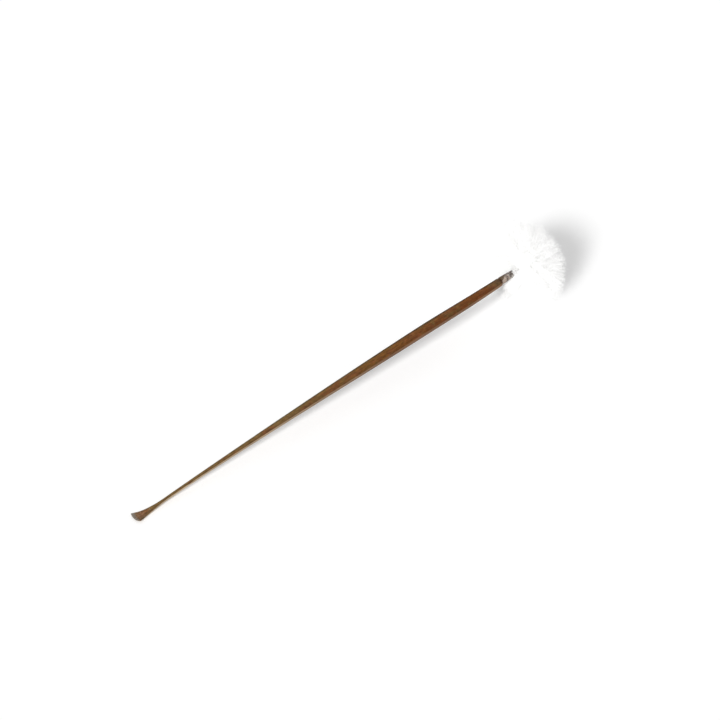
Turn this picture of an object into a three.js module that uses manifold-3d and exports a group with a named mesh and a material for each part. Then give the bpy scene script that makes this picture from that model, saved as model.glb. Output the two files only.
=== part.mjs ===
// Bamboo ear pick with a down puff: a carved stick, six down plumes and the thread that binds them on.
// Millimetres, +Z up. The pick lies as it does on a table, with its scoop towards -X and its puff towards +X.
// Each piece is built along the stick's own axis, X, counted from the scoop's front edge. Then all are tilted together.
import * as THREE from "three";
import { mergeVertices } from "three/addons/utils/BufferGeometryUtils.js";
import Module from "manifold-3d";

// Stick
const STICK_LENGTH = 157; // front edge of the scoop to the end of the spigot
const NECK_WIDTH = 1.15;
const NECK_THICKNESS = 1.0;
const BODY_WIDTH = 3.85;
const BODY_THICKNESS = 2.1;
const BODY_BEHIND_SHOULDER = 31; // from the thickest place to the shoulder
const SHOULDER_WIDTH = 3.0;
const SHOULDER_THICKNESS = 2.15;
const EVEN_TAPER_SHARE = 0.25; // of the swell from the neck to the body, which is otherwise a soft S
const BOW_HEIGHT = 1.55; // the split cane's slight natural arch
const BOW_PEAK_AT = 50; // more than a quarter of the stick's length

// Scoop
const SCOOP_LENGTH = 12; // the fan, from its front edge to the neck
const SCOOP_WIDTH = 4.7;
const SCOOP_THICKNESS = 0.42;
const SCOOP_RISE = 1.3; // how far the front edge is bent up
const SCOOP_BEND_LENGTH = 6.5;
const SCOOP_FAN_POWER = 1.75; // how fast the fan narrows behind its front edge
const SCOOP_DISH = 0.35; // how far its sides stand above its middle
const SCOOP_DISH_ENDS = [0.3, 0.9]; // shares of the scoop's length between which the dish runs out
const SCOOP_EDGE_BULGE = 0.5; // how far the middle of the front edge stands before its corners
const SCOOP_BULGE_END = 0.4; // share of the scoop's length where the bulge has run out

// Squareness of the section's skin side and cut side: 2 is an ellipse, and more is squarer
const NECK_SKIN = 2.6;
const NECK_CUT = 3.2;
const BODY_SKIN = 2.6;
const BODY_CUT = 4.2;
const SHOULDER_SKIN = 2.3;
const SHOULDER_CUT = 2.5;
const ROUND = 2;

// Spigot, which the quills lie round
const SPIGOT_LENGTH = 7.8;
const SPIGOT_DIAMETER = 0.95;
const SPIGOT_CHAMFER = 0.7;

// Binding thread
const THREAD_DIAMETER = 0.26;
const THREAD_TURNS = 9;
const THREAD_GAP = 0.44; // between two turns
const THREAD_FROM_SHOULDER = 0.35;

// Down plumes
const PLUME_NAMES = ["top", "upper_left", "lower_left", "bottom", "lower_right", "upper_right"];
const QUILL_DIAMETER = 0.38;
const QUILL_ROOTED = 1.6; // how deep a quill runs into its down
const PUFF_RADIUS = 14.5;
const PUFF_AHEAD_OF_STICK = 1.3; // from the stick's end to the puff's centre
const PUFF_FLAT_DEPTH = 0.5; // how far the down is pressed in by the table
const DIMPLE_HALF_ANGLE = 58; // degrees, of the open cone that the stick enters by
const DIMPLE_LIP_RADIUS = 3.2;
const PLUME_GAP = 0.3;
const PLUME_GROOVE = 0.07; // share of the radius that is lost between two plumes

// Clearance between small pieces that are bound or glued together
const SEAT_GAP = 0.05;

const shoulderAt = STICK_LENGTH - SPIGOT_LENGTH;
const bodyAt = shoulderAt - BODY_BEHIND_SHOULDER;
const puffAt = STICK_LENGTH + PUFF_AHEAD_OF_STICK;
const quillCircle = SPIGOT_DIAMETER / 2 + SEAT_GAP + QUILL_DIAMETER / 2;
const threadCircle = quillCircle + QUILL_DIAMETER / 2 + SEAT_GAP + THREAD_DIAMETER / 2;

const smoked_bamboo = { color: 0x74492e, roughness: 0.5, metalness: 0 };
const white_down = { color: 0xf6f5f2, roughness: 1, metalness: 0 };
const pale_thread = { color: 0xcfc6b8, roughness: 0.8, metalness: 0 };

const wasm = await Module();
wasm.setup();

function solidOf(geometry) {
  const bare = geometry.index ? geometry.toNonIndexed() : geometry.clone();
  bare.deleteAttribute("normal");
  bare.deleteAttribute("uv");
  const merged = mergeVertices(bare, 1e-4);
  return new wasm.Manifold(
    new wasm.Mesh({
      numProp: 3,
      vertProperties: merged.attributes.position.array,
      triVerts: new Uint32Array(merged.index.array),
    }),
  );
}

function geometryOf(solid) {
  const mesh = solid.getMesh();
  return new THREE.BufferGeometry()
    .setAttribute("position", new THREE.BufferAttribute(mesh.vertProperties, mesh.numProp))
    .setIndex(new THREE.BufferAttribute(mesh.triVerts, 1));
}

function meshOf(name, geometry, look) {
  geometry.computeVertexNormals();
  const mesh = new THREE.Mesh(geometry, new THREE.MeshStandardMaterial(look));
  mesh.name = name;
  return mesh;
}

// A closed skin over rings of equally many points. Each end is closed by strips from one side of its ring to the other.
function loft(rings) {
  const count = rings[0].length;
  const faces = [];
  const quad = (a, b, c, d) => faces.push(a, b, c, a, c, d);
  for (let ring = 0; ring < rings.length - 1; ring++) {
    for (let k = 0; k < count; k++) {
      const next = (k + 1) % count;
      const here = ring * count;
      const ahead = here + count;
      quad(here + k, here + next, ahead + next, ahead + k);
    }
  }
  const last = (rings.length - 1) * count;
  for (let k = 0; k < count / 2; k++) {
    const across = (count - k) % count;
    const acrossNext = count - k - 1;
    quad(k, across, acrossNext, k + 1);
    quad(last + k, last + k + 1, last + acrossNext, last + across);
  }
  const kept = [];
  for (let i = 0; i < faces.length; i += 3) {
    const [a, b, c] = faces.slice(i, i + 3);
    if (a !== b && b !== c && a !== c) kept.push(a, b, c);
  }
  return new THREE.BufferGeometry()
    .setAttribute("position", new THREE.Float32BufferAttribute(rings.flat().flatMap((p) => p.toArray()), 3))
    .setIndex(kept);
}

// Height of the stick's middle line above its chord: one even arch with its peak nearer to the scoop.
function bowAt(along) {
  const control = 2 * BOW_PEAK_AT - STICK_LENGTH / 2;
  const spread = STICK_LENGTH - 2 * control;
  const t = along / (control + Math.sqrt(control ** 2 + spread * along));
  return 4 * BOW_HEIGHT * t * (1 - t);
}

const fade = (value, from, to) => THREE.MathUtils.smoothstep(value, from, to);
const between = (from, to, share) => from + (to - from) * share;

// Width, thickness and squareness of the stick at a distance from the scoop's edge.
function sectionAt(along) {
  if (along < SCOOP_LENGTH) {
    const share = along / SCOOP_LENGTH;
    return {
      width: between(NECK_WIDTH, SCOOP_WIDTH, (1 - share) ** SCOOP_FAN_POWER),
      thickness: between(SCOOP_THICKNESS, NECK_THICKNESS, fade(share, 0, 1)),
      skin: NECK_SKIN,
      cut: NECK_CUT,
    };
  }
  if (along < bodyAt) {
    const share = (along - SCOOP_LENGTH) / (bodyAt - SCOOP_LENGTH);
    const swell = between(fade(share, 0, 1), share, EVEN_TAPER_SHARE);
    return {
      width: between(NECK_WIDTH, BODY_WIDTH, swell),
      thickness: between(NECK_THICKNESS, BODY_THICKNESS, swell),
      skin: between(NECK_SKIN, BODY_SKIN, swell),
      cut: between(NECK_CUT, BODY_CUT, swell),
    };
  }
  if (along <= shoulderAt) {
    const share = (along - bodyAt) / BODY_BEHIND_SHOULDER;
    return {
      width: between(BODY_WIDTH, SHOULDER_WIDTH, share ** 2),
      thickness: between(BODY_THICKNESS, SHOULDER_THICKNESS, share ** 2),
      skin: between(BODY_SKIN, SHOULDER_SKIN, share),
      cut: between(BODY_CUT, SHOULDER_CUT, share),
    };
  }
  return { width: SPIGOT_DIAMETER, thickness: SPIGOT_DIAMETER, skin: ROUND, cut: ROUND };
}

// One ring of the stick: a split cane's section, domed on its skin side and flatter below.
function stickRing(along, shrink = 0) {
  const RING_POINTS = 20;
  const section = sectionAt(along);
  const halfWidth = section.width / 2 - shrink;
  const halfThickness = section.thickness / 2 - shrink;
  const bend = SCOOP_RISE * Math.max(0, 1 - along / SCOOP_BEND_LENGTH) ** 2;
  const dish = SCOOP_DISH * (1 - fade(along / SCOOP_LENGTH, ...SCOOP_DISH_ENDS));
  const bulge = SCOOP_EDGE_BULGE * (1 - fade(along / SCOOP_LENGTH, 0, SCOOP_BULGE_END));
  const straight = fade(along, bodyAt, shoulderAt);
  const rise = bend + bowAt(along) * (1 - straight);
  return Array.from({ length: RING_POINTS }, (_, k) => {
    const angle = (2 * Math.PI * k) / RING_POINTS;
    const squareness = Math.sin(angle) >= 0 ? section.skin : section.cut;
    const rounded = (value) => Math.sign(value) * Math.abs(value) ** (2 / squareness);
    const across = rounded(Math.cos(angle));
    const up = rounded(Math.sin(angle));
    return new THREE.Vector3(
      along + bulge * across ** 2,
      halfWidth * across,
      rise + halfThickness * up + dish * across ** 2,
    );
  });
}

function stickGeometry() {
  const SCOOP_STEPS = 20;
  const BODY_STEPS = 44;
  const EDGE_ROUNDING = 0.12;
  const rings = [stickRing(0, EDGE_ROUNDING)];
  for (let step = 0; step < SCOOP_STEPS; step++) {
    rings.push(stickRing(EDGE_ROUNDING + ((SCOOP_LENGTH - EDGE_ROUNDING) * step) / SCOOP_STEPS));
  }
  for (let step = 0; step <= BODY_STEPS; step++) {
    rings.push(stickRing(SCOOP_LENGTH + ((shoulderAt - SCOOP_LENGTH) * step) / BODY_STEPS));
  }
  rings.push(stickRing(shoulderAt + SPIGOT_CHAMFER / 2));
  rings.push(stickRing(STICK_LENGTH - EDGE_ROUNDING));
  rings.push(stickRing(STICK_LENGTH, EDGE_ROUNDING));
  return loft(rings);
}

// The binding: one unbroken thread wound round the quills, its two ends led off straight for a thread's width.
function threadGeometry() {
  const STEPS_PER_TURN = 24;
  const SIDES = 6;
  const pitch = THREAD_DIAMETER + THREAD_GAP;
  const start = shoulderAt + THREAD_FROM_SHOULDER + THREAD_DIAMETER;
  const centres = [];
  for (let step = 0; step <= THREAD_TURNS * STEPS_PER_TURN; step++) {
    const turn = (2 * Math.PI * step) / STEPS_PER_TURN;
    const along = start + (pitch * step) / STEPS_PER_TURN;
    centres.push(new THREE.Vector3(along, threadCircle * Math.cos(turn), threadCircle * Math.sin(turn)));
  }
  const leadOff = (end, before) => end.clone().add(end.clone().sub(before).setLength(THREAD_DIAMETER));
  centres.unshift(leadOff(centres[0], centres[1]));
  centres.push(leadOff(centres.at(-1), centres.at(-2)));
  reportLeastGap(centres, STEPS_PER_TURN / 2);
  const rings = centres.map((centre, i) => {
    const tangent = centres[Math.min(i + 1, centres.length - 1)].clone().sub(centres[Math.max(i - 1, 0)]).normalize();
    const outward = new THREE.Vector3(0, centre.y, centre.z);
    outward.addScaledVector(tangent, -outward.dot(tangent)).normalize();
    const sideways = tangent.clone().cross(outward);
    return Array.from({ length: SIDES }, (_, k) => {
      const angle = (2 * Math.PI * k) / SIDES;
      return centre
        .clone()
        .addScaledVector(outward, (THREAD_DIAMETER / 2) * Math.cos(angle))
        .addScaledVector(sideways, (THREAD_DIAMETER / 2) * Math.sin(angle));
    });
  });
  return loft(rings);
}

// Prints the least gap between stretches of the thread that are half a turn or more apart.
function reportLeastGap(centres, apart) {
  let least = Infinity;
  for (let i = 0; i < centres.length; i++) {
    for (let j = i + apart; j < centres.length; j++) {
      least = Math.min(least, centres[i].distanceTo(centres[j]) - THREAD_DIAMETER);
    }
  }
  console.log("least gap between turns of the binding thread: " + least.toFixed(2) + " mm");
}

// The whole puff as one turned body, drawn in a little where two plumes meet.
function puffSolid() {
  const OUTER_STEPS = 22;
  const LIP_STEPS = 6;
  const TURN_STEPS = 72;
  const cone = THREE.MathUtils.degToRad(DIMPLE_HALF_ANGLE);
  // The lip's circle touches the puff's sphere from inside and the dimple's cone.
  const lipFromCentre = PUFF_RADIUS - DIMPLE_LIP_RADIUS;
  const lipFromCone = Math.asin(DIMPLE_LIP_RADIUS / lipFromCentre);
  const lipAngle = Math.PI - cone - lipFromCone;
  const lip = new THREE.Vector2(lipFromCentre * Math.sin(lipAngle), lipFromCentre * Math.cos(lipAngle));
  const profile = [new THREE.Vector2(0, PUFF_RADIUS)];
  for (let step = 1; step <= OUTER_STEPS; step++) {
    const angle = (lipAngle * step) / OUTER_STEPS;
    profile.push(new THREE.Vector2(PUFF_RADIUS * Math.sin(angle), PUFF_RADIUS * Math.cos(angle)));
  }
  const lipTurn = Math.PI / 2 + lipFromCone;
  for (let step = 1; step <= LIP_STEPS; step++) {
    const angle = lipAngle + (lipTurn * step) / LIP_STEPS;
    profile.push(
      new THREE.Vector2(lip.x + DIMPLE_LIP_RADIUS * Math.sin(angle), lip.y + DIMPLE_LIP_RADIUS * Math.cos(angle)),
    );
  }
  profile.push(new THREE.Vector2(0, 0));
  const turned = new THREE.LatheGeometry(profile.reverse(), TURN_STEPS);
  const place = turned.attributes.position;
  const half = Math.PI / PLUME_NAMES.length;
  for (let i = 0; i < place.count; i++) {
    // The lathe turns round Y. Its axis becomes X here, and its angle is counted from the middle of a plume.
    const [x, y, z] = [place.getY(i), place.getX(i), place.getZ(i)];
    const angle = Math.atan2(z, y) - Math.PI / 2;
    const fromMiddle = Math.abs(angle - 2 * half * Math.round(angle / (2 * half))) / half;
    const drawn = 1 - PLUME_GROOVE * fromMiddle ** 3;
    place.setXYZ(i, x * drawn, y * drawn, z * drawn);
  }
  const solid = solidOf(turned);
  return solid.volume() < 0 ? solidOf(flipped(turned)) : solid;
}

function flipped(geometry) {
  const order = geometry.index.array;
  for (let i = 0; i < order.length; i += 3) [order[i + 1], order[i + 2]] = [order[i + 2], order[i + 1]];
  return geometry;
}

// One plume, standing upwards: its slice of the puff with its quill, which runs back along the spigot.
function plumeSolid(puff) {
  const half = Math.PI / PLUME_NAMES.length;
  const apex = PLUME_GAP / 2 / Math.sin(half);
  const reach = 2 * PUFF_RADIUS;
  const slice = new THREE.Shape([
    new THREE.Vector2(0, apex),
    new THREE.Vector2(reach * Math.tan(half), apex + reach),
    new THREE.Vector2(-reach * Math.tan(half), apex + reach),
  ]);
  // The shape's X becomes the part's Y, its Y the part's Z, and it is extruded along the stick.
  const wedge = new THREE.ExtrudeGeometry(slice, { depth: 2 * reach, bevelEnabled: false });
  wedge.applyMatrix4(
    new THREE.Matrix4().makeBasis(
      new THREE.Vector3(0, 1, 0),
      new THREE.Vector3(0, 0, 1),
      new THREE.Vector3(1, 0, 0),
    ),
  );
  wedge.translate(-reach, 0, 0);
  const down = puff.intersect(solidOf(wedge)).translate([puffAt, 0, 0]);
  const quillFrom = shoulderAt + THREAD_FROM_SHOULDER;
  const quillTo = puffAt + QUILL_ROOTED;
  const quill = new THREE.CylinderGeometry(QUILL_DIAMETER / 2, QUILL_DIAMETER / 2, quillTo - quillFrom, 10);
  quill.rotateZ(-Math.PI / 2);
  quill.translate((quillFrom + quillTo) / 2, 0, quillCircle);
  return down.add(solidOf(quill));
}

// The slope at which the stick's underside just touches the table while the puff rests on its flat.
function restingSlope(stick) {
  const place = stick.attributes.position;
  let low = 0;
  let high = Math.PI / 6;
  for (let halving = 0; halving < 50; halving++) {
    const slope = (low + high) / 2;
    let lowest = Infinity;
    for (let i = 0; i < place.count; i++) {
      const height = (place.getX(i) - puffAt) * Math.sin(slope) + place.getZ(i) * Math.cos(slope);
      lowest = Math.min(lowest, PUFF_RADIUS - PUFF_FLAT_DEPTH + height);
    }
    if (lowest > 0) low = slope;
    else high = slope;
  }
  return low;
}

const stick = stickGeometry();
const slope = restingSlope(stick);

const laid = new THREE.Group();
laid.rotation.y = -slope;
laid.position.set(-puffAt * Math.cos(slope), 0, PUFF_RADIUS - PUFF_FLAT_DEPTH - puffAt * Math.sin(slope));
laid.updateMatrix();
laid.add(meshOf("bamboo_stick", stick, smoked_bamboo));
laid.add(meshOf("binding_thread", threadGeometry(), pale_thread));

// The table, as a block in the stick's own frame, which presses the lowest plume flat.
const table = new THREE.BoxGeometry(4 * PUFF_RADIUS, 4 * PUFF_RADIUS, PUFF_RADIUS);
table.translate(0, 0, -PUFF_RADIUS / 2);
table.applyMatrix4(laid.matrix.clone().invert());
const tableSolid = solidOf(table);

const puff = puffSolid();
const plume = plumeSolid(puff);
PLUME_NAMES.forEach((name, i) => {
  const turned = plume.rotate([(360 * i) / PLUME_NAMES.length, 0, 0]);
  laid.add(meshOf("down_plume_" + name, geometryOf(turned.subtract(tableSolid)), white_down));
});

const earPick = new THREE.Group();
earPick.add(laid);
earPick.updateMatrixWorld(true);
const span = new THREE.Box3().setFromObject(earPick, true);
earPick.position.x = -(span.min.x + span.max.x) / 2;

export default earPick;
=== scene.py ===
"""Bamboo ear pick with a down puff: its finishes, its thread, its down and the pale table that it lies on."""

import math

import bmesh
import bpy
import numpy as np
from mathutils import Matrix, Vector


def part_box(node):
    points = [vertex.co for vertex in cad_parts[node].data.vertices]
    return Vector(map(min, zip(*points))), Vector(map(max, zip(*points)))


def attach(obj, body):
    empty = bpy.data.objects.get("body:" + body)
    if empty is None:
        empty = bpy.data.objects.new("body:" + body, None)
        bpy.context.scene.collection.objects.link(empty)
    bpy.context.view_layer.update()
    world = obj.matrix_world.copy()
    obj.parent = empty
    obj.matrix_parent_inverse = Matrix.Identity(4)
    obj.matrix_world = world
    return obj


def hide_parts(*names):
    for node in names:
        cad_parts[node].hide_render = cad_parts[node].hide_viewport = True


bl_info = {
    "name": "Bamboo ear pick",
    "version": (1, 0, 0),
    "blender": (4, 5, 0),
    "location": "View3D > Sidebar > Ear pick",
    "description": "Finishes the stick, the binding thread and the down puff of a bamboo ear pick",
    "category": "Object",
}

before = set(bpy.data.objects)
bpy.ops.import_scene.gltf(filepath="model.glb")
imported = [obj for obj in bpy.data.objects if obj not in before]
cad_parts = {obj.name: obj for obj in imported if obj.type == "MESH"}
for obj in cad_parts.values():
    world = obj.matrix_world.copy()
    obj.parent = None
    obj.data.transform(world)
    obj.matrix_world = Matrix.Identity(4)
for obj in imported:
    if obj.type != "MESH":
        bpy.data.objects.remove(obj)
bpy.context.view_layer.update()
MM = 0.001

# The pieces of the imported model
STICK = "bamboo_stick"
THREAD = "binding_thread"
PLUMES = ("top", "upper_left", "lower_left", "bottom", "lower_right", "upper_right")
HALF_PLUME = math.pi / len(PLUMES)

# The stick's attribute that runs across it, from -1 at its right edge to 1 at its left
ACROSS = "across"

# Nearly all of a noise lies between these two values.
MOST_OF_NOISE = (0.3, 0.7)


def packed_points(node):
    """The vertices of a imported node, in the row's frame."""
    return np.array([vertex.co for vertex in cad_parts[node].data.vertices])


def binding_line():
    """Both ends of the binding's middle line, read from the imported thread."""
    points = packed_points(THREAD)
    centre = points.mean(axis=0)
    _, _, axes = np.linalg.svd(points - centre, full_matrices=False)
    direction = axes[0] * np.sign(axes[0][0])
    along = (points - centre) @ direction
    return Vector(centre + direction * along.min()), Vector(centre + direction * along.max())


def puff_sphere():
    """Centre and radius of the puff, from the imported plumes. The table presses its lowest down flat."""
    PRESSED = 0.5 * MM
    points = np.concatenate([packed_points(f"down_plume_{name}") for name in PLUMES])
    low, high = points.min(axis=0), points.max(axis=0)
    radius = (high[2] - low[2] + PRESSED) / 2
    return Vector((high[0] - radius, 0, high[2] - radius)), radius


BINDING_START, BINDING_END = binding_line()
STICK_AXIS = (BINDING_END - BINDING_START).normalized()
PUFF_CENTRE, PUFF_RADIUS = puff_sphere()


class StickLook(bpy.types.PropertyGroup):
    rim_colour: bpy.props.FloatVectorProperty(
        name="Scoop's rim",
        description="Grey, worn cane along the scoop's front edge",
        subtype="COLOR",
        size=3,
        default=(0.245, 0.217, 0.180),
    )
    scoop_colour: bpy.props.FloatVectorProperty(
        name="Scoop",
        description="Bamboo in the middle of the scoop, orange brown",
        subtype="COLOR",
        size=3,
        default=(0.272, 0.150, 0.076),
    )
    thin_colour: bpy.props.FloatVectorProperty(
        name="Thin part",
        description="Smoked bamboo behind the scoop",
        subtype="COLOR",
        size=3,
        default=(0.200, 0.117, 0.039),
    )
    middle_colour: bpy.props.FloatVectorProperty(
        name="Middle",
        description="Smoked bamboo in the middle of the stick",
        subtype="COLOR",
        size=3,
        default=(0.193, 0.083, 0.017),
    )
    thick_colour: bpy.props.FloatVectorProperty(
        name="Thick part",
        description="Smoked bamboo near the puff, reddish brown",
        subtype="COLOR",
        size=3,
        default=(0.168, 0.053, 0.010),
    )
    shoulder_colour: bpy.props.FloatVectorProperty(
        name="Shoulder",
        description="Smoked bamboo where it ends at the binding, dark olive brown",
        subtype="COLOR",
        size=3,
        default=(0.118, 0.064, 0.031),
    )
    soot_colour: bpy.props.FloatVectorProperty(
        name="Soot",
        description="Darkest smoke stains in the fibres",
        subtype="COLOR",
        size=3,
        default=(0.048, 0.024, 0.015),
    )
    thin_side_colour: bpy.props.FloatVectorProperty(
        name="Thin cut sides",
        description="Straw-coloured cane, cut below its skin, behind the scoop",
        subtype="COLOR",
        size=3,
        default=(0.514, 0.396, 0.268),
    )
    thick_side_colour: bpy.props.FloatVectorProperty(
        name="Thick cut sides",
        description="Browned cane, cut below its skin, near the puff",
        subtype="COLOR",
        size=3,
        default=(0.190, 0.105, 0.060),
    )
    shoulder_side_colour: bpy.props.FloatVectorProperty(
        name="Shoulder's cut sides",
        description="Tan cane, cut below its skin, at the shoulder",
        subtype="COLOR",
        size=3,
        default=(0.230, 0.130, 0.072),
    )
    olive_colour: bpy.props.FloatVectorProperty(
        name="Olive clouds",
        description="Places that the smoke has reddened less",
        subtype="COLOR",
        size=3,
        default=(0.165, 0.098, 0.028),
    )
    red_colour: bpy.props.FloatVectorProperty(
        name="Red clouds",
        description="Places that the smoke has reddened most",
        subtype="COLOR",
        size=3,
        default=(0.215, 0.072, 0.024),
    )
    # Painted shade: the two colours below darken the skin's left and right edges.
    left_edge_painted_shade: bpy.props.FloatVectorProperty(
        name="Left edge's shade",
        description="Olive shade that darkens the edge of the skin on the +Y side",
        subtype="COLOR",
        size=3,
        default=(0.430, 0.560, 0.560),
    )
    right_edge_painted_shade: bpy.props.FloatVectorProperty(
        name="Right edge's shade",
        description="Brown shade that darkens the edge of the skin on the -Y side",
        subtype="COLOR",
        size=3,
        default=(0.740, 0.720, 0.780),
    )


class BindingLook(bpy.types.PropertyGroup):
    # The smoke is a real stain at the binding's start; its farther reach at the upper left is painted shade.
    smoked_colour: bpy.props.FloatVectorProperty(
        name="Smoked thread",
        description="Thread as dark as the bamboo, at the upper left of the binding's start",
        subtype="COLOR",
        size=3,
        default=(0.120, 0.080, 0.045),
    )
    shoulder_colour: bpy.props.FloatVectorProperty(
        name="Thread at the shoulder",
        description="Undyed thread that bamboo dust has browned a little",
        subtype="COLOR",
        size=3,
        default=(0.475, 0.382, 0.315),
    )
    thread_colour: bpy.props.FloatVectorProperty(
        name="Thread at the down",
        description="Clean undyed thread",
        subtype="COLOR",
        size=3,
        default=(0.770, 0.760, 0.749),
    )
    glue_colour: bpy.props.FloatVectorProperty(
        name="Glue stain",
        description="Thread under the thickest glue",
        subtype="COLOR",
        size=3,
        default=(0.105, 0.082, 0.072),
    )
    soaked_colour: bpy.props.FloatVectorProperty(
        name="Soaked thread",
        description="Thread that the glue has greyed",
        subtype="COLOR",
        size=3,
        default=(0.410, 0.367, 0.335),
    )
    thread_diameter: bpy.props.FloatProperty(
        name="Thread diameter",
        description="Thickness of the binding thread",
        default=0.26 * MM,
        unit="LENGTH",
    )
    pitch: bpy.props.FloatProperty(
        name="Pitch",
        description="Advance of the thread in one turn",
        default=0.30 * MM,
        unit="LENGTH",
    )


class PuffSizes(bpy.types.PropertyGroup):
    down_colour: bpy.props.FloatVectorProperty(
        name="Down",
        description="White down",
        subtype="COLOR",
        size=3,
        default=(0.990, 0.989, 0.985),
    )
    barbs: bpy.props.IntProperty(
        name="Barbs per plume",
        description="Fine barbs that each plume holds",
        default=1600,
        min=10,
    )
    barb_width: bpy.props.FloatProperty(
        name="Barb width",
        description="Thickness of one barb at its root",
        default=0.065 * MM,
        unit="LENGTH",
    )
    barbule_length: bpy.props.FloatProperty(
        name="Barbule length",
        description="Length of the side hairs of a barb",
        default=1.1 * MM,
        unit="LENGTH",
    )
    dimple: bpy.props.FloatProperty(
        name="Dimple",
        description="Half angle of the open cone that the stick enters by",
        subtype="ANGLE",
        default=math.radians(53),
    )
    lip_radius: bpy.props.FloatProperty(
        name="Dimple lip",
        description="Roundness of the dimple's edge",
        default=3.2 * MM,
        unit="LENGTH",
    )
    width_share: bpy.props.FloatProperty(
        name="Width",
        description="How far the barbs reach across the stick, as a share of the solid puff's radius",
        default=1.09,
        min=0.5,
        max=1.3,
    )
    length_share: bpy.props.FloatProperty(
        name="Length",
        description="How far the barbs reach along the stick, as a share of the solid puff's radius",
        default=0.90,
        min=0.5,
        max=1.3,
    )
    loose_share: bpy.props.FloatProperty(
        name="Loose barbs",
        description="Share of the barbs that lean back into the dimple",
        subtype="FACTOR",
        default=0.08,
        min=0,
        max=1,
    )


class StageSizes(bpy.types.PropertyGroup):
    azimuth: bpy.props.FloatProperty(
        name="Azimuth",
        description="How far round the pick the camera stands from the front, negative to the left",
        subtype="ANGLE",
        default=math.radians(-40.28),
    )
    elevation: bpy.props.FloatProperty(
        name="Elevation",
        description="Height of the camera above the table, as an angle",
        subtype="ANGLE",
        default=math.radians(41.8),
    )
    distance: bpy.props.FloatProperty(
        name="Distance",
        description="From the camera to the middle of its view",
        default=2.5,
        unit="LENGTH",
    )
    field: bpy.props.FloatProperty(
        name="Field",
        description="Width of the view at that distance",
        default=226.1 * MM,
        unit="LENGTH",
    )


def node_material(name):
    """A new material, with its node tree and its Principled shader."""
    material = bpy.data.materials.new(name)
    material.use_nodes = True
    return material, material.node_tree, material.node_tree.nodes["Principled BSDF"]


def axes_of(tree, kind):
    """The X, Y and Z of each point's Object coordinates or Normal."""
    place = tree.nodes.new("ShaderNodeTexCoord")
    axes = tree.nodes.new("ShaderNodeSeparateXYZ")
    tree.links.new(place.outputs[kind], axes.inputs["Vector"])
    return axes.outputs["X"], axes.outputs["Y"], axes.outputs["Z"]


def grain_noise(tree, grains, detail, shift=(0, 0, 0)):
    """Noise on Object coordinates, with so many grains in a metre along each axis."""
    place = tree.nodes.new("ShaderNodeTexCoord")
    stretch = tree.nodes.new("ShaderNodeMapping")
    stretch.inputs["Scale"].default_value = grains
    stretch.inputs["Location"].default_value = shift
    tree.links.new(place.outputs["Object"], stretch.inputs["Vector"])
    noise = tree.nodes.new("ShaderNodeTexNoise")
    noise.inputs["Scale"].default_value = 1
    noise.inputs["Detail"].default_value = detail
    tree.links.new(stretch.outputs["Vector"], noise.inputs["Vector"])
    return noise.outputs["Fac"]


def map_range(tree, value, from_range, to_range):
    """The value carried from one range to another, held at its ends."""
    node = tree.nodes.new("ShaderNodeMapRange")
    node.inputs["From Min"].default_value, node.inputs["From Max"].default_value = from_range
    node.inputs["To Min"].default_value, node.inputs["To Max"].default_value = to_range
    tree.links.new(value, node.inputs["Value"])
    return node.outputs["Result"]


def colour_mix(tree, share, first, second, blend="MIX"):
    """Two colours mixed by a share. Each may be a colour or a socket, and the share a number or a socket."""
    node = tree.nodes.new("ShaderNodeMix")
    node.data_type = "RGBA"
    node.blend_type = blend
    for name, value in (("Factor", share), ("A", first), ("B", second)):
        sockets = [s for s in node.inputs if s.name == name and s.enabled]
        if isinstance(value, bpy.types.NodeSocket):
            tree.links.new(value, sockets[0])
        elif name == "Factor":
            sockets[0].default_value = value
        else:
            sockets[0].default_value = (*value, 1)
    return next(s for s in node.outputs if s.enabled)


def shaded(tree, colour, amount):
    """The colour made darker or paler by an amount, where 1 leaves it as it is."""
    return colour_mix(tree, 1.0, colour, amount, "MULTIPLY")


def tone_ramp(tree, value, stops):
    """Colours at given places of a value from 0 to 1, blended between them."""
    node = tree.nodes.new("ShaderNodeValToRGB")
    ramp = node.color_ramp.elements
    for at, colour in stops[1:-1]:
        ramp.new(at).color = (*colour, 1)
    ramp[0].color = (*stops[0][1], 1)
    ramp[-1].color = (*stops[-1][1], 1)
    tree.links.new(value, node.inputs["Fac"])
    return node.outputs["Color"]


def maths(tree, operation, first, second):
    """The result of two values, each a socket or a number."""
    node = tree.nodes.new("ShaderNodeMath")
    node.operation = operation
    for k, value in enumerate((first, second)):
        if isinstance(value, bpy.types.NodeSocket):
            tree.links.new(value, node.inputs[k])
        else:
            node.inputs[k].default_value = value
    return node.outputs["Value"]


def add_bump(tree, shader, height, strength, distance):
    """Raises the surface by a height from 0 to 1 times the distance."""
    bump = tree.nodes.new("ShaderNodeBump")
    bump.inputs["Strength"].default_value = strength
    bump.inputs["Distance"].default_value = distance
    tree.links.new(height, bump.inputs["Height"])
    tree.links.new(bump.outputs["Normal"], shader.inputs["Normal"])


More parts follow.
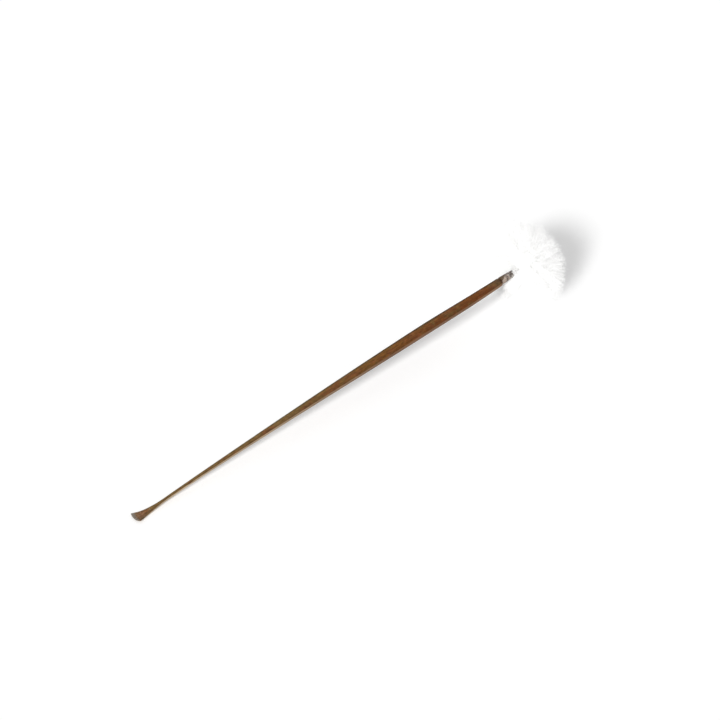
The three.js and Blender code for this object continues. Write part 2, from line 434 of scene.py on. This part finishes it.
def bamboo_skin(tree, look, along):
    """The skin's colour: a tone that changes along the stick, under olive and red clouds and darker smoke."""
    OLIVE_CLOUDS = (330, 470, 420)
    OLIVE_STRENGTH = 0.65
    RED_CLOUDS = (300, 420, 380)
    RED_STRENGTH = 0.6
    SMOKE = (900, 1600, 1500)
    DARKEST, PALEST = 0.72, 1.18
    tone = tone_ramp(
        tree,
        along,
        (
            (0.00, look.scoop_colour),
            (0.024, look.scoop_colour),
            (0.04, look.thin_colour),
            (0.40, look.thin_colour),
            (0.60, look.middle_colour),
            (0.82, look.thick_colour),
            (0.91, look.thick_colour),
            (0.94, look.shoulder_colour),
            (1.00, look.shoulder_colour),
        ),
    )
    olive = grain_noise(tree, OLIVE_CLOUDS, 2, shift=(3, 1, 7))
    olive_share = map_range(tree, olive, (0.50, 0.62), (0, OLIVE_STRENGTH))
    clouded = colour_mix(tree, olive_share, tone, look.olive_colour)
    red = grain_noise(tree, RED_CLOUDS, 2, shift=(1, 8, 4))
    red_share = map_range(tree, red, (0.52, 0.64), (0, RED_STRENGTH))
    reddened = colour_mix(tree, red_share, clouded, look.red_colour)
    smoke = grain_noise(tree, SMOKE, 5, shift=(5, 2, 3))
    return shaded(tree, reddened, map_range(tree, smoke, (0.35, 0.65), (DARKEST, PALEST)))


def painted_edge_shade(tree, look, along, skin):
    """The skin with painted shade on its edges: the left edge dark and the right edge a little darker. The
    scoop's left is less dark.
    """
    ON_SCOOP = 0.45
    outline = tree.nodes.new("ShaderNodeAttribute")
    outline.attribute_name = ACROSS
    across = outline.outputs["Fac"]
    past_scoop = map_range(tree, along, (0.05, 0.09), (ON_SCOOP, 1))
    # Painted shade along the left edge, and growing gradually towards the right edge.
    left = maths(tree, "MULTIPLY", map_range(tree, across, (0.32, 0.62), (0, 1)), past_scoop)
    right = map_range(tree, across, (0.05, -0.70), (0, 1))
    left_painted_shade = colour_mix(tree, left, skin, look.left_edge_painted_shade, "MULTIPLY")
    return colour_mix(tree, right, left_painted_shade, look.right_edge_painted_shade, "MULTIPLY")


def cut_cane(tree, look, along):
    """The colour of the cane where it is cut below its skin."""
    return tone_ramp(
        tree,
        along,
        (
            (0.00, look.thin_side_colour),
            (0.15, look.thin_side_colour),
            (0.66, look.thick_side_colour),
            (0.86, look.thick_side_colour),
            (0.93, look.shoulder_side_colour),
            (1.00, look.shoulder_side_colour),
        ),
    )


def worn_share(tree, x, y, front):
    """How far the front edge is worn: most along the scoop's curved edge, then less, with a ragged end."""
    CURVES_BACK = 0.09 / MM
    LEANS_LEFT = 0.22
    FULL_WEAR = 0.6 * MM
    NO_WEAR = 1.2 * MM
    RAGGED = 0.3 * MM
    GRAIN = (1500, 1500, 1500)
    MOST = 0.9
    slope = maths(tree, "ADD", maths(tree, "MULTIPLY", y, CURVES_BACK), LEANS_LEFT)
    back = maths(tree, "MULTIPLY", slope, y)
    grain = grain_noise(tree, GRAIN, 2, shift=(6, 3, 2))
    ragged = map_range(tree, grain, MOST_OF_NOISE, (-RAGGED, RAGGED))
    from_front = maths(tree, "ADD", maths(tree, "SUBTRACT", x, back), ragged)
    return map_range(tree, from_front, (front + FULL_WEAR, front + NO_WEAR), (MOST, 0))


def scoop_dots(tree, along):
    """The share of the pale dots on the scoop."""
    GRAIN = (2600, 2600, 2600)
    MOST = 0.5
    grain = grain_noise(tree, GRAIN, 1, shift=(2, 7, 5))
    dots = map_range(tree, grain, (0.64, 0.70), (0, MOST))
    on_scoop = map_range(tree, along, (0.035, 0.06), (1, 0))
    return maths(tree, "MULTIPLY", dots, on_scoop)


def bamboo_material(look):
    """Smoked cane: a dark skin with painted shade on its edges, paler cut sides, a worn front edge, fibres
    and soot.
    """
    FIBRES = (45, 4200, 3000)
    STAINS = (110, 3600, 3000)
    MOST_CUT = 0.95
    MOST_SOOT = 0.65
    MATT, SATIN = 0.62, 0.46
    GLOSS = 0.12
    BUMP_STRENGTH = 0.35
    BUMP_HEIGHT = 0.04 * MM
    material, tree, shader = node_material("smoked_bamboo")
    x, y, _ = axes_of(tree, "Object")
    _, _, facing_up = axes_of(tree, "Normal")
    low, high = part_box(STICK)
    along = map_range(tree, x, (low[0], high[0]), (0, 1))

    # The skin lies on top, with painted shade on its edges. The sides and the underside are cut cane.
    skin = painted_edge_shade(tree, look, along, bamboo_skin(tree, look, along))
    cut = map_range(tree, facing_up, (0.60, 0.35), (0, MOST_CUT))
    body = colour_mix(tree, cut, skin, cut_cane(tree, look, along))
    worn = colour_mix(tree, worn_share(tree, x, y, low[0]), body, look.rim_colour)
    dotted = colour_mix(tree, scoop_dots(tree, along), worn, look.thin_side_colour)

    fibres = grain_noise(tree, FIBRES, 5)
    grained = shaded(tree, dotted, map_range(tree, fibres, (0.32, 0.68), (0.80, 1.20)))
    stains = grain_noise(tree, STAINS, 3, shift=(9, 4, 2))
    soot = map_range(tree, stains, (0.58, 0.70), (0, MOST_SOOT))
    tree.links.new(colour_mix(tree, soot, grained, look.soot_colour), shader.inputs["Base Color"])

    rough = map_range(tree, fibres, MOST_OF_NOISE, (MATT, SATIN))
    tree.links.new(rough, shader.inputs["Roughness"])
    shader.inputs["Specular IOR Level"].default_value = GLOSS
    add_bump(tree, shader, fibres, BUMP_STRENGTH, BUMP_HEIGHT)
    return material


def thread_tone(tree, look, along):
    """The thread's colour along the binding: browned, then greyed by glue, then clean, with uneven ends."""
    WAVER = (700, 500, 500)
    UNEVEN = 0.06
    waver = grain_noise(tree, WAVER, 1, shift=(4, 1, 6))
    uneven = map_range(tree, waver, MOST_OF_NOISE, (-UNEVEN, UNEVEN))
    return tone_ramp(
        tree,
        maths(tree, "ADD", along, uneven),
        (
            (0.00, look.shoulder_colour),
            (0.22, look.shoulder_colour),
            (0.27, look.glue_colour),
            (0.33, look.shoulder_colour),
            (0.42, look.soaked_colour),
            (0.62, look.soaked_colour),
            (0.74, look.thread_colour),
            (1.00, look.thread_colour),
        ),
    )


def glue_share(tree, along, shade_slant):
    """The share of the dark glue blots: few at the start and the end, and sooner at the upper left, where
    that is painted shade.
    """
    BLOTS = (1500, 1300, 1300)
    MOST = 0.85
    FEWER_AT_START = -0.12
    MORE_IN_MIDDLE = 0.05
    FEWER_AT_END = -0.14
    blots = grain_noise(tree, BLOTS, 2, shift=(2, 5, 1))
    sooner = maths(tree, "ADD", along, shade_slant)
    middle = map_range(tree, sooner, (0.26, 0.40), (FEWER_AT_START, MORE_IN_MIDDLE))
    ending = map_range(tree, along, (0.66, 0.78), (0, FEWER_AT_END))
    blotted = maths(tree, "ADD", maths(tree, "ADD", blots, middle), ending)
    return map_range(tree, blotted, (0.48, 0.55), (0, MOST))


def thread_material(look):
    """Fine undyed thread: smoked at its start, blotted with glue, then clean. Painted shade makes the smoke
    and the blots reach farther at its upper left.
    """
    SHADE_SLANT = 0.14 / MM
    MOST_SMOKED = 0.9
    FUZZ = (5200, 5200, 5200)
    ROUGHNESS = 0.75
    GLOSS = 0.2
    BUMP_STRENGTH = 0.5
    BUMP_HEIGHT = 0.03 * MM
    material, tree, shader = node_material("undyed_thread")
    x, y, z = axes_of(tree, "Object")
    low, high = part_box(THREAD)
    along = map_range(tree, x, (low[0], high[0]), (0, 1))

    # The smoke and the glue blots reach farther at the upper left of the binding than at its lower right:
    # painted shade over real stains.
    up_left_shade = maths(tree, "SUBTRACT", maths(tree, "ADD", y, z), (low[2] + high[2]) / 2)
    shade_slant = maths(tree, "MULTIPLY", up_left_shade, SHADE_SLANT)
    tone = thread_tone(tree, look, along)
    glued = colour_mix(tree, glue_share(tree, along, shade_slant), tone, look.glue_colour)
    # Painted shade: the smoke at the start reaches farther at the upper left.
    smoky = map_range(tree, maths(tree, "SUBTRACT", along, shade_slant), (0.02, 0.06), (MOST_SMOKED, 0))
    smoked = colour_mix(tree, smoky, glued, look.smoked_colour)
    fuzz = grain_noise(tree, FUZZ, 3)
    fuzzy = shaded(tree, smoked, map_range(tree, fuzz, MOST_OF_NOISE, (0.78, 1.18)))
    tree.links.new(fuzzy, shader.inputs["Base Color"])
    shader.inputs["Roughness"].default_value = ROUGHNESS
    shader.inputs["Specular IOR Level"].default_value = GLOSS
    add_bump(tree, shader, fuzz, BUMP_STRENGTH, BUMP_HEIGHT)
    return material


def down_material(sizes):
    """White down, so fine that most light passes each barb: its shadows are thin."""
    SHADOW_THROUGH = 0.965
    CLOUD = (420, 420, 420)
    ROUGHNESS = 0.9
    GLOSS = 0.2
    material, tree, shader = node_material("white_down")
    cloud = grain_noise(tree, CLOUD, 3)
    white = shaded(tree, sizes.down_colour, map_range(tree, cloud, (0.35, 0.65), (0.985, 1.0)))
    tree.links.new(white, shader.inputs["Base Color"])
    shader.inputs["Roughness"].default_value = ROUGHNESS
    shader.inputs["Specular IOR Level"].default_value = GLOSS
    rays = tree.nodes.new("ShaderNodeLightPath")
    clear = tree.nodes.new("ShaderNodeBsdfTransparent")
    thin = tree.nodes.new("ShaderNodeMixShader")
    share = map_range(tree, rays.outputs["Is Shadow Ray"], (0, 1), (0, SHADOW_THROUGH))
    tree.links.new(share, thin.inputs["Fac"])
    tree.links.new(shader.outputs["BSDF"], thin.inputs[1])
    tree.links.new(clear.outputs["BSDF"], thin.inputs[2])
    tree.links.new(thin.outputs["Shader"], tree.nodes["Material Output"].inputs["Surface"])
    return material


def plain_rays(tree):
    """1 for the rays that meet the background plainly: from the camera, in gloss and through glass."""
    rays = tree.nodes.new("ShaderNodeLightPath")
    seen = maths(tree, "MAXIMUM", rays.outputs["Is Camera Ray"], rays.outputs["Is Glossy Ray"])
    return maths(tree, "MAXIMUM", seen, rays.outputs["Is Transmission Ray"])


def table_material():
    """Pale, matt table. Seen plainly it is a little brighter than its light makes it, as paper often is."""
    COLOUR = (0.985, 0.985, 0.985)
    GRAIN = (9, 9, 9)
    ROUGHNESS = 0.95
    GLOW = 0.155
    material, tree, shader = node_material("pale_table")
    grain = grain_noise(tree, GRAIN, 2)
    pale = shaded(tree, COLOUR, map_range(tree, grain, MOST_OF_NOISE, (0.985, 1.0)))
    tree.links.new(pale, shader.inputs["Base Color"])
    shader.inputs["Roughness"].default_value = ROUGHNESS
    shader.inputs["Specular IOR Level"].default_value = 0
    shader.inputs["Emission Color"].default_value = (1, 1, 1, 1)
    glow = map_range(tree, plain_rays(tree), (0, 1), (0, GLOW))
    tree.links.new(glow, shader.inputs["Emission Strength"])
    return material


def finished(name, mesh, node, material):
    """The object of a finished mesh, put in place of its CAD node, which is hidden."""
    piece = bpy.data.objects.new(name, mesh)
    bpy.context.scene.collection.objects.link(piece)
    mesh.materials.append(material)
    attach(piece, "root")
    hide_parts(node)
    return piece


def mesh_of(name, shape):
    """The smooth mesh of a shape. The shape is freed."""
    mesh = bpy.data.meshes.new(name)
    shape.to_mesh(mesh)
    shape.free()
    mesh.shade_smooth()
    return mesh


def mark_across(shape):
    """Notes how far across the stick each of its vertices lies, as a share of its half width there."""
    NEAR = 0.5 * MM
    across = shape.verts.layers.float.new(ACROSS)
    points = np.array([vertex.co for vertex in shape.verts])
    for vertex in shape.verts:
        beside = np.abs(points[:, 0] - vertex.co.x) < NEAR
        vertex[across] = vertex.co.y / np.abs(points[beside, 1]).max()


class EARPICK_OT_stick(bpy.types.Operator):
    """Makes the smoked bamboo stick with its scoop"""

    bl_idname = "earpick.stick"
    bl_label = "Bamboo stick"

    def execute(self, context):
        MERGE = 0.001 * MM
        FLAT_ENOUGH = math.radians(40)
        SQUARE_ENOUGH = math.radians(80)
        CUT_BEFORE_BINDING = 0.65 * MM
        shape = bmesh.new()
        shape.from_mesh(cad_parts[STICK].data)
        bmesh.ops.remove_doubles(shape, verts=shape.verts, dist=MERGE)
        bmesh.ops.join_triangles(
            shape,
            faces=shape.faces,
            angle_face_threshold=FLAT_ENOUGH,
            angle_shape_threshold=SQUARE_ENOUGH,
        )
        # A cut close to the shoulder keeps it sharp when the rest is made finer.
        cut_at = BINDING_START - STICK_AXIS * CUT_BEFORE_BINDING
        geom = shape.verts[:] + shape.edges[:] + shape.faces[:]
        bmesh.ops.bisect_plane(shape, geom=geom, plane_co=cut_at, plane_no=STICK_AXIS)
        mark_across(shape)
        material = bamboo_material(context.scene.stick_look)
        piece = finished("carved_stick", mesh_of("carved_stick", shape), STICK, material)
        finer = piece.modifiers.new("finer", "SUBSURF")
        finer.levels = finer.render_levels = 1
        return {"FINISHED"}


def along_stick(at):
    """From a frame with Z along the stick to the row's frame, its origin at the given point."""
    return Matrix.Translation(at) @ STICK_AXIS.to_track_quat("Z", "Y").to_matrix().to_4x4()


def binding_radius():
    """From the stick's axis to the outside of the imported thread."""
    points = packed_points(THREAD)
    from_axis = np.cross(points - np.array(BINDING_START), np.array(STICK_AXIS))
    return np.linalg.norm(from_axis, axis=1).max()


def wound_thread(look, length):
    """The thread wound along Z from 0. It narrows towards its end, and six quills lie below it."""
    STEPS_PER_TURN = 24
    SIDES = 8
    RIDGE_DEPTH = 0.05
    NARROWS = 0.16
    radius = binding_radius() - look.thread_diameter / 2
    turns = length / look.pitch
    steps = round(turns * STEPS_PER_TURN)
    shape = bmesh.new()
    start = Matrix.Translation((radius, 0, look.thread_diameter / 2)) @ Matrix.Rotation(math.pi / 2, 4, "X")
    ring = bmesh.ops.create_circle(
        shape,
        segments=SIDES,
        radius=look.thread_diameter / 2,
        cap_ends=True,
        matrix=start,
    )
    bmesh.ops.spin(
        shape,
        geom=ring["verts"] + shape.edges[:] + shape.faces[:],
        cent=(0, 0, 0),
        axis=(0, 0, 1),
        dvec=(0, 0, length / steps),
        angle=2 * math.pi * turns,
        steps=steps,
        space=Matrix(),
        use_duplicate=False,
    )
    for vertex in shape.verts:
        turn = math.atan2(vertex.co.y, vertex.co.x)
        between_quills = RIDGE_DEPTH * (0.5 - 0.5 * math.cos(len(PLUMES) * turn))
        drawn = 1 - between_quills - NARROWS * vertex.co.z / length
        vertex.co.x *= drawn
        vertex.co.y *= drawn
    bmesh.ops.recalc_face_normals(shape, faces=shape.faces)
    return shape


class EARPICK_OT_binding(bpy.types.Operator):
    """Makes the thread that binds the plumes' quills to the stick"""

    bl_idname = "earpick.binding"
    bl_label = "Binding thread"

    def execute(self, context):
        BEFORE_START = 0.3 * MM
        PAST_END = 0.6 * MM
        look = context.scene.binding_look
        length = (BINDING_END - BINDING_START).length + BEFORE_START + PAST_END - look.thread_diameter
        shape = wound_thread(look, length)
        start = BINDING_START - STICK_AXIS * BEFORE_START
        bmesh.ops.transform(shape, matrix=along_stick(start), verts=shape.verts)
        finished("whipped_thread", mesh_of("whipped_thread", shape), THREAD, thread_material(look))
        return {"FINISHED"}


def arrays_of(shape):
    """The places of a triangulated shape's vertices and its triangles. The shape is freed."""
    shape.verts.index_update()
    places = np.array([vertex.co for vertex in shape.verts])
    faces = np.array([[vertex.index for vertex in face.verts] for face in shape.faces])
    shape.free()
    return places, faces


def barb_prototype(sizes):
    """One barb along Z from 0 to 1: a three-sided spine with side hairs. Its X and Y are in metres."""
    SPINE_STEPS = 4
    HAIRS = 16
    TIP_SHARE = 0.3
    HAIR_WIDTH = 1.3
    HAIR_FLATNESS = 0.3
    SHORTEST, LONGEST = 0.6, 1.15
    BARE_SHARE = 0.22
    LEAN = 0.06
    SEED = 11
    rng = np.random.default_rng(SEED)
    shape = bmesh.new()
    bmesh.ops.create_cone(
        shape,
        segments=3,
        radius1=sizes.barb_width / 2,
        radius2=sizes.barb_width / 2 * TIP_SHARE,
        depth=1,
        cap_ends=True,
        matrix=Matrix.Translation((0, 0, 0.5)),
    )
    for step in range(1, SPINE_STEPS):
        geom = shape.verts[:] + shape.edges[:] + shape.faces[:]
        bmesh.ops.bisect_plane(shape, geom=geom, plane_co=(0, 0, step / SPINE_STEPS), plane_no=(0, 0, 1))
    for hair in range(HAIRS):
        root = BARE_SHARE + (1 - BARE_SHARE) * (hair + rng.random()) / HAIRS
        length = sizes.barbule_length * rng.uniform(SHORTEST, LONGEST)
        made = bmesh.ops.create_cone(
            shape,
            segments=3,
            radius1=sizes.barb_width * HAIR_WIDTH / 2,
            radius2=0,
            depth=length,
            cap_ends=True,
            matrix=Matrix.Translation((0, 0, length / 2)),
        )
        # The hair stands out at a random turn, its flat side outwards, and leans towards the tip.
        turn = rng.uniform(0, 2 * math.pi)
        for vertex in made["verts"]:
            out, side, thick = vertex.co.z, vertex.co.x, vertex.co.y
            vertex.co.x = out * math.cos(turn) - side * math.sin(turn)
            vertex.co.y = out * math.sin(turn) + side * math.cos(turn)
            vertex.co.z = root + LEAN * out / sizes.barbule_length + HAIR_FLATNESS * thick / PUFF_RADIUS
    bmesh.ops.triangulate(shape, faces=shape.faces)
    return arrays_of(shape)


def barb_reach(sizes, polar, dimple):
    """How far the puff reaches at an angle from the stick's axis: a ball with a dimple at the stick."""
    lip_from_centre = PUFF_RADIUS - sizes.lip_radius
    lip_angle = math.pi - dimple - math.asin(sizes.lip_radius / lip_from_centre)
    past = np.clip(polar - lip_angle, 0, None)
    under = np.clip(sizes.lip_radius**2 - (lip_from_centre * np.sin(past)) ** 2, 0, None)
    lip = lip_from_centre * np.cos(past) + np.sqrt(under)
    return np.where(past > 0, lip, PUFF_RADIUS)


def nearest_tufts(polar, turn, middle, rear, rng):
    """For each barb, both angles of the tuft that it leans to, and how far that tuft stands out."""
    TUFTS = 30
    SHORTEST, TALLEST = 0.95, 1.05
    tuft_polar = np.arccos(rng.uniform(math.cos(rear.min()), 1.0, TUFTS))
    tuft_turn = middle + HALF_PLUME * rng.uniform(-1, 1, TUFTS)
    beside = np.sin(polar[:, None]) * (turn[:, None] - tuft_turn)
    nearest = ((polar[:, None] - tuft_polar) ** 2 + beside**2).argmin(axis=1)
    stand = rng.uniform(SHORTEST, TALLEST, TUFTS)[nearest]
    return tuft_polar[nearest], tuft_turn[nearest], stand


def curled_lines(polar, turn, pulls, rng):
    """The steps along a barb and its two angles there: it bends outwards, leans to its tuft and curls."""
    STEPS = 15
    CURL = 0.07
    WAVES = 5
    LEAST_SIDE = 0.3
    ROOT_TURN = 0.5
    share = np.linspace(0, 1, STEPS)[None, :]
    turned = ROOT_TURN + (1 - ROOT_TURN) * np.sin(share * math.pi / 2)
    polar_line = polar[:, None] * turned + pulls[0][:, None] * share**2
    turn_line = turn[:, None] + pulls[1][:, None] * share**2
    curl = rng.normal(0, CURL, (2, len(polar)))
    phase = rng.uniform(0, 2 * math.pi, (2, len(polar)))
    side = np.maximum(np.sin(polar), LEAST_SIDE)[:, None]
    polar_line += curl[0][:, None] * np.sin(phase[0][:, None] + WAVES * share) * share
    turn_line += curl[1][:, None] * np.sin(phase[1][:, None] + WAVES * share) * share / side
    return share, polar_line, turn_line


def barb_curves(sizes, count, middle, rng):
    """Middle lines of one plume's barbs, as an array of barb, step and place in the row's frame."""
    OVERLAP = 1.1
    CLOSER = 0.35
    CLOSEST_TURN = math.radians(-135)
    SHORTER = 0.30
    MOSTLY_LONG = 2.2
    FEWER_ABOVE = 0.85
    LEANS_BACK = 0.45
    LOOSE_REACH = (0.35, 0.7)
    PULL = 0.4
    ROOT_SHARE = 0.04
    turn = middle + HALF_PLUME * OVERLAP * rng.uniform(-1, 1, count)

    # The dimple is an opening round the stick. Its lip comes closest to the stick at the lower right.
    dimple = sizes.dimple * (1 - CLOSER * np.clip(np.cos(turn - CLOSEST_TURN), 0, 1))
    rear = math.pi - dimple
    polar = np.arccos(rng.uniform(np.cos(rear), 1.0))

    # Barbs draw together in tufts towards their tips, and some tufts stand out farther than others.
    tuft_polar, tuft_turn, stand = nearest_tufts(polar, turn, middle, rear, rng)
    reach = barb_reach(sizes, polar, dimple) * stand * (1 - SHORTER * rng.random(count) ** MOSTLY_LONG)

    # Loose barbs lean back beside the binding, most of them below it.
    loose = rng.random(count) < sizes.loose_share * (1 - FEWER_ABOVE * np.sin(turn))
    polar = np.where(loose, rng.uniform(rear, rear + LEANS_BACK), polar)
    reach = np.where(loose, PUFF_RADIUS * rng.uniform(*LOOSE_REACH, count), reach)
    pull = np.where(loose, 0, PULL * rng.random(count))
    pulls = pull * (tuft_polar - polar), pull * (tuft_turn - turn)
    share, polar_line, turn_line = curled_lines(polar, turn, pulls, rng)

    root = ROOT_SHARE * PUFF_RADIUS
    radius = root + (reach[:, None] - root) * share
    side = radius * np.sin(polar_line)
    axes = side * np.cos(turn_line), side * np.sin(turn_line), radius * np.cos(polar_line)
    local = np.stack(axes, axis=2) * (sizes.width_share, sizes.width_share, sizes.length_share)
    place = np.array(along_stick(PUFF_CENTRE))
    return local @ place[:3, :3].T + place[:3, 3]


def pressed(height):
    """Heights after the table has pressed the lowest barbs flat. None reaches the table itself."""
    SPRINGY = 1.5 * MM
    return np.where(height < SPRINGY, SPRINGY * np.exp(np.minimum(height / SPRINGY - 1, 0)), height)


def bent_copies(prototype, curves, rng):
    """Vertices and triangles of one prototype barb bent along each curve, each turned by chance."""
    UPRIGHT = 0.8
    places, faces = prototype
    count, steps = curves.shape[:2]
    tangent = np.gradient(curves, axis=1)
    tangent /= np.linalg.norm(tangent, axis=2, keepdims=True)
    helper = np.where(np.abs(tangent[:, :1, 2:]) < UPRIGHT, [[[0.0, 0.0, 1.0]]], [[[0.0, 1.0, 0.0]]])
    first = np.cross(tangent, helper)
    first /= np.linalg.norm(first, axis=2, keepdims=True)
    second = np.cross(tangent, first)
    share = places[:, 2] * (steps - 1)
    low = np.clip(share.astype(int), 0, steps - 2)
    part = (share - low)[None, :, None]
    centre = curves[:, low] * (1 - part) + curves[:, low + 1] * part
    turn = rng.uniform(0, 2 * math.pi, count)[:, None, None]
    across, up = places[None, :, :1], places[None, :, 1:2]
    points = centre + first[:, low] * (across * np.cos(turn) - up * np.sin(turn))
    points += second[:, low] * (across * np.sin(turn) + up * np.cos(turn))
    triangles = faces[None] + (np.arange(count) * len(places))[:, None, None]
    return points.reshape(-1, 3), triangles.reshape(-1, 3)


def quill_shape(turn):
    """One plume's bare quill, which lies along the spigot under the binding and leans in with it."""
    QUILL_DIAMETER = 0.38 * MM
    SIDES = 12
    TIP_SHARE = 0.4
    BELOW_THREAD = 0.31 * MM
    ROOTED = 2.5 * MM
    UNDER_THREAD = 0.5 * MM
    LEANS_IN = 0.013
    circle = binding_radius() - BELOW_THREAD - QUILL_DIAMETER / 2
    length = (PUFF_CENTRE - BINDING_START).length + ROOTED - UNDER_THREAD
    shape = bmesh.new()
    bmesh.ops.create_cone(
        shape,
        segments=SIDES,
        radius1=QUILL_DIAMETER / 2,
        radius2=QUILL_DIAMETER / 2 * TIP_SHARE,
        depth=length,
        cap_ends=True,
        matrix=Matrix.Translation((0, 0, length / 2 + UNDER_THREAD)),
    )
    for vertex in shape.verts:
        out = circle - LEANS_IN * vertex.co.z
        vertex.co.x += out * math.cos(turn)
        vertex.co.y += out * math.sin(turn)
    bmesh.ops.transform(shape, matrix=along_stick(BINDING_START), verts=shape.verts)
    bmesh.ops.triangulate(shape, faces=shape.faces)
    return arrays_of(shape)


def joined(parts):
    """Several shapes, each as places and triangles, as one."""
    starts = np.cumsum([0] + [len(places) for places, _ in parts[:-1]])
    return (
        np.concatenate([places for places, _ in parts]),
        np.concatenate([faces + start for (_, faces), start in zip(parts, starts)]),
    )


def mesh_from_arrays(name, points, triangles):
    """The flat-shaded mesh of many triangles."""
    mesh = bpy.data.meshes.new(name)
    mesh.vertices.add(len(points))
    mesh.vertices.foreach_set("co", points.astype(np.float32).ravel())
    mesh.loops.add(triangles.size)
    mesh.loops.foreach_set("vertex_index", triangles.astype(np.int32).ravel())
    mesh.polygons.add(len(triangles))
    mesh.polygons.foreach_set("loop_start", np.arange(0, triangles.size, 3, dtype=np.int32))
    mesh.update(calc_edges=True)
    mesh.shade_flat()
    return mesh


class EARPICK_OT_puff(bpy.types.Operator):
    """Makes the six down plumes of the puff"""

    bl_idname = "earpick.puff"
    bl_label = "Down puff"

    def execute(self, context):
        FIRST_SEED = 200
        FIRST_TURN = math.pi / 2
        sizes = context.scene.puff_sizes
        material = down_material(sizes)
        prototype = barb_prototype(sizes)
        for k, name in enumerate(PLUMES):
            rng = np.random.default_rng(FIRST_SEED + k)
            middle = FIRST_TURN + 2 * math.pi * k / len(PLUMES)
            curves = barb_curves(sizes, sizes.barbs, middle, rng)
            barbs = bent_copies(prototype, curves, rng)
            points, triangles = joined([barbs, quill_shape(middle)])
            points[:, 2] = pressed(points[:, 2])
            mesh = mesh_from_arrays(f"plume_{name}", points, triangles)
            finished(f"plume_{name}", mesh, f"down_plume_{name}", material)
        return {"FINISHED"}


def lay_table(scene):
    """Lays the plain pale table under the pick."""
    HALF_WIDTH = 6.0
    shape = bmesh.new()
    bmesh.ops.create_grid(shape, x_segments=1, y_segments=1, size=HALF_WIDTH)
    mesh = mesh_of("table", shape)
    table = bpy.data.objects.new("table", mesh)
    scene.collection.objects.link(table)
    mesh.materials.append(table_material())


def light_sky(scene):
    """Gives over half of the light on the table from all round. Seen plainly, the sky is white."""
    SKY = 0.48
    world = bpy.data.worlds.new("soft_sky")
    scene.world = world
    world.use_nodes = True
    tree = world.node_tree
    background = tree.nodes["Background"]
    background.inputs["Color"].default_value = (1, 1, 1, 1)
    strength = map_range(tree, plain_rays(tree), (0, 1), (SKY, 1))
    tree.links.new(strength, background.inputs["Strength"])


def picture_axes(stage):
    """The directions along the table that run to the right of the picture and away from the camera."""
    right = Vector((math.cos(stage.azimuth), math.sin(stage.azimuth), 0))
    return right, Vector((-right.y, right.x, 0))


def light_window(scene, stage):
    """Lets the window's light in low, over the scoop."""
    SUN_SHARE = 0.41
    WINDOW_WIDTH = math.radians(12)

    # How far the light goes for each metre that it comes down
    TO_THE_RIGHT = 0.62
    AWAY_FROM_CAMERA = 1.32
    right, away = picture_axes(stage)
    travel = right * TO_THE_RIGHT + away * AWAY_FROM_CAMERA - Vector((0, 0, 1))
    travel.normalize()
    light = bpy.data.lights.new("window", "SUN")
    light.angle = WINDOW_WIDTH
    light.energy = SUN_SHARE * math.pi / -travel.z
    window = bpy.data.objects.new("window", light)
    window.rotation_mode = "QUATERNION"
    window.rotation_quaternion = travel.to_track_quat("-Z", "Y")
    scene.collection.objects.link(window)


def set_camera(scene, stage):
    """Sets the camera at the photograph's angle. The middle of its view lies on the table."""
    VIEW_MIDDLE = Vector((14.57 * MM, 11.54 * MM, 0))
    SENSOR = 36
    _, away = picture_axes(stage)
    back = -away * math.cos(stage.elevation) + Vector((0, 0, math.sin(stage.elevation)))
    lens = bpy.data.cameras.new("camera")
    lens.sensor_width = SENSOR
    lens.lens = SENSOR * stage.distance / stage.field
    lens.clip_start = 0.05
    lens.clip_end = 20
    camera = bpy.data.objects.new("camera", lens)
    camera.location = VIEW_MIDDLE + back * stage.distance
    camera.rotation_mode = "QUATERNION"
    camera.rotation_quaternion = (-back).to_track_quat("-Z", "Y")
    scene.collection.objects.link(camera)
    scene.camera = camera


class EARPICK_OT_stage(bpy.types.Operator):
    """Makes the pale table, the soft light and the camera"""

    bl_idname = "earpick.stage"
    bl_label = "Table, light and camera"

    def execute(self, context):
        scene = context.scene
        scene.view_settings.view_transform = "Standard"
        lay_table(scene)
        light_sky(scene)
        light_window(scene, scene.stage_sizes)
        set_camera(scene, scene.stage_sizes)
        return {"FINISHED"}


OPERATORS = (EARPICK_OT_stage, EARPICK_OT_stick, EARPICK_OT_binding, EARPICK_OT_puff)
SETTINGS = {
    "stick_look": StickLook,
    "binding_look": BindingLook,
    "puff_sizes": PuffSizes,
    "stage_sizes": StageSizes,
}


class EARPICK_PT_panel(bpy.types.Panel):
    """Lists the sizes, the colours and the steps that make the ear pick"""

    bl_label = "Ear pick"
    bl_idname = "EARPICK_PT_panel"
    bl_space_type = "VIEW_3D"
    bl_region_type = "UI"
    bl_category = "Ear pick"

    def draw(self, context):
        for name, group in SETTINGS.items():
            for key in group.__annotations__:
                self.layout.prop(getattr(context.scene, name), key)
        for operator in OPERATORS:
            self.layout.operator(operator.bl_idname)


def register():
    for group in SETTINGS.values():
        bpy.utils.register_class(group)
    for name, group in SETTINGS.items():
        setattr(bpy.types.Scene, name, bpy.props.PointerProperty(type=group))
    for operator in OPERATORS:
        bpy.utils.register_class(operator)
    bpy.utils.register_class(EARPICK_PT_panel)


def unregister():
    bpy.utils.unregister_class(EARPICK_PT_panel)
    for operator in reversed(OPERATORS):
        bpy.utils.unregister_class(operator)
    for name in SETTINGS:
        delattr(bpy.types.Scene, name)
    for group in reversed(SETTINGS.values()):
        bpy.utils.unregister_class(group)


def main():
    """Makes the pick and its stage."""
    register()
    bpy.ops.earpick.stage()
    bpy.ops.earpick.stick()
    bpy.ops.earpick.binding()
    bpy.ops.earpick.puff()


if __name__ == "__main__":
    main()
